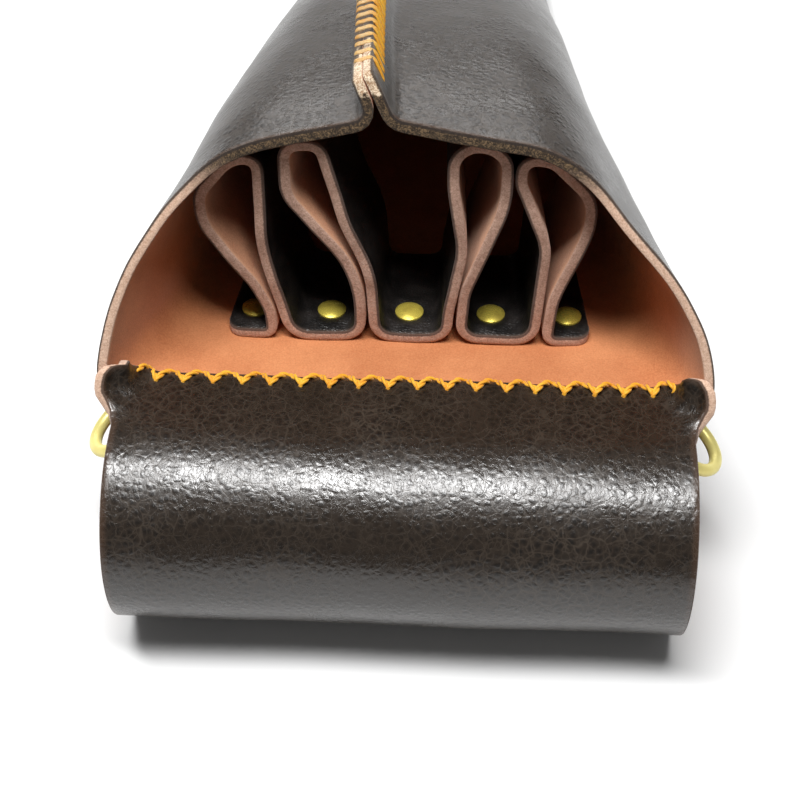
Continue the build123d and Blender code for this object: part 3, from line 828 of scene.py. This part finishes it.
def on_back_panel(x, y):
    """Height of the suede side of the back panel, which turns up into the pouch's sides."""
    bend = mix(tip_half, mouth_half, (1 - y / pouch_length) ** width_fall) - mouth_corner
    past = min(max(abs(x) - bend, 0), mouth_corner - leather - 0.01)
    inner = mouth_corner - leather
    return mouth_corner - math.sqrt(inner ** 2 - past ** 2)


tooth = (edge_end - edge_start) / edge_teeth
jitter = [0.25 * noise.noise(Vector((n * 0.71, 2.0, 5.0))) for n in range(2 * edge_teeth + 1)]
lines = []
for n in range(edge_teeth):
    near = edge_start + n * tooth + jitter[n]
    far_hole = edge_start + (n + 0.83) * tooth + jitter[n + edge_teeth + 1]
    after = edge_start + (n + 1) * tooth + jitter[n + 1]
    long_stitch = [(near, 7.0, -0.9, 1), (near + 0.05, 7.05, 0.1, 1), (near + 0.4, 7.3, 0.62, 1),
                   (mix(near, far_hole, 0.55), 9.2, 0.72, 1), (mix(near, far_hole, 0.8), 10.2, 1.75, 0),
                   (far_hole - 0.1, 10.75, 1.0, 0), (far_hole + 0.1, 10.95, 0.2, 0),
                   (far_hole + 0.1, 11.0, -0.8, 0)]
    short_stitch = [(far_hole - 0.25, 10.9, -0.8, 0), (far_hole - 0.2, 10.7, 0.4, 0),
                    (far_hole, 10.0, 1.5, 0), (mix(far_hole, after, 0.45), 9.0, 0.5, 1),
                    (mix(far_hole, after, 0.85), 7.5, 0.6, 1), (after, 7.0, 0.1, 1), (after, 6.95, -0.9, 1)]
    for stitch in (long_stitch, short_stitch):
        line = []
        for walk, y, above, flap_below in stitch:
            x, height = on_flap(walk, y)
            line.append((x, y, above + (height if flap_below else on_back_panel(x, y))))
        lines.append(even(np.array(line), 60, ease=0.3))
flap_thread_finish = thread_finish("waxed flap thread", paint(250, 190, 52), paint(224, 146, 30), 0.0)
zigzag = sewn("flap_seam_stitches", lines, flap_thread_finish, edge_ply, 0.3, 0.22, step=0.3)
dress(zigzag, "flap_seam_thread")


# The tip's seam: the same thread in a row of running stitches, straight through the flat tip near its end.
tip_row, tip_pitch, tip_length, tip_margin = pouch_length - 7.0, 5.0, 3.4, 4.0
tip_top = tip_stack + 0.5 * tip_crown


def running_stitch(x, face, out):
    """One stitch that leaves the leather at one hole, lies on its face and goes in at the next."""
    half = tip_length / 2
    steps = [(-half, -0.9), (-half, 0.0), (-half + 0.4, 0.45), (0, 0.36), (half - 0.4, 0.45), (half, 0.0),
             (half, -0.9)]
    return even(np.array([(x + aside, tip_row, face + out * above) for aside, above in steps]), 36, ease=0.25)


count = int((tip_half - tip_margin) / tip_pitch)
foot_x = seam_line(tip_row)[0][0] - tip_seam_height / 2
lines = [running_stitch(n * tip_pitch, 0.0, -1) for n in range(-count, count + 1)]
lines += [running_stitch(n * tip_pitch, tip_top, 1) for n in range(-count, count + 1)
          if abs(n * tip_pitch - foot_x) > tip_margin + tip_length]
tip_stitches = sewn("tip_seam_stitches", lines, flap_thread_finish, edge_ply, 0.3, 0.22, step=0.3)
dress(tip_stitches, "tip_seam_thread")


# The rivets: double-cap rivets of brass-plated steel, their caps domed, a little tarnished and scratched.
# The D-rings: bent from paler brass wire and rubbed to a satin gloss.
def brass_finish(name, bright, tarnish, rough, age, metal):
    finish, flow = new_finish(name)
    place = flow.node("ShaderNodeTexCoord", output="Object")
    spots = noise_at(flow, place, 420, 4.0, 0.6)
    brushed = flow.node("ShaderNodeMapping", None, {
        "Vector": place, "Rotation": (0.3, 0.2, 0.7), "Scale": (1.0, 9.0, 3.0)})
    scuffs = noise_at(flow, brushed, 900, 3.0, 0.6)
    grime = age * spots.rise(0.4, 0.68)
    rough = rough + 0.3 * grime + 0.12 * scuffs.rise(0.5, 0.7)
    finished(flow, {"Base Color": grime.towards(bright, tarnish), "Metallic": metal, "Roughness": rough},
             0.6 * scuffs + 0.4 * spots, 0.00004, 0.5)
    return finish


rivet_brass = brass_finish("rivet brass", paint(240, 218, 96), paint(160, 138, 56), 0.26, 0.6, 0.55)
ring_brass = brass_finish("ring brass", paint(255, 242, 152), paint(242, 220, 128), 0.34, 0.3, 0.3)
for name, node in frame["nodes"].items():
    if "rivet" in name or "d_ring" in name:
        finish = rivet_brass if "rivet" in name else ring_brass
        node.data.materials.clear()
        node.data.materials.append(finish)


# The floor: a plain pale table under the pouch. One soft lamp hangs above the mouth and a long low one
# stands far behind the tip, under a faint even daylight.
floor_mesh = bpy.data.meshes.new("table")
floor_mesh.from_pydata([(-3, -3, 0), (3, -3, 0), (3, 3, 0), (-3, 3, 0)], [], [(0, 1, 2, 3)])
floor = bpy.data.objects.new("table", floor_mesh)
bpy.context.scene.collection.objects.link(floor)
floor_paint, flow = new_finish("white table")
rays = [flow.node("ShaderNodeLightPath", output=kind) for kind in ("Is Camera Ray", "Is Glossy Ray")]
seen = rays[0].maths("MAXIMUM", *rays)
finished(flow, {"Base Color": seen.towards((0.5, 0.5, 0.5, 1.0), (0.93, 0.93, 0.93, 1.0)), "Roughness": 0.7,
                "Specular IOR Level": 0.1})
floor_mesh.materials.append(floor_paint)

world = bpy.data.worlds.new("daylight")
bpy.context.scene.world = world
world.use_nodes = True
world.node_tree.nodes["Background"].inputs["Color"].default_value = (1.0, 1.0, 1.0, 1.0)
world.node_tree.nodes["Background"].inputs["Strength"].default_value = 0.1


def lamp(name, place, aim, size, power, turn=0.0):
    light = bpy.data.lights.new(name, "AREA")
    light.shape = "RECTANGLE"
    light.size, light.size_y = size
    light.energy = power
    holder = bpy.data.objects.new(name, light)
    bpy.context.scene.collection.objects.link(holder)
    holder.location = place
    facing = (Vector(aim) - Vector(place)).to_track_quat("-Z", "Y").to_matrix()
    holder.rotation_euler = (facing @ Matrix.Rotation(math.radians(turn), 3, "Z")).to_euler()


lamp("overhead", (-0.05, -0.1, 0.62), (-0.02, -0.08, 0.03), (0.4, 0.13), 5.2, 34)
lamp("behind", (-0.08, 0.85, 0.36), (0.0, 0.0, 0.06), (0.9, 0.22), 2.0)
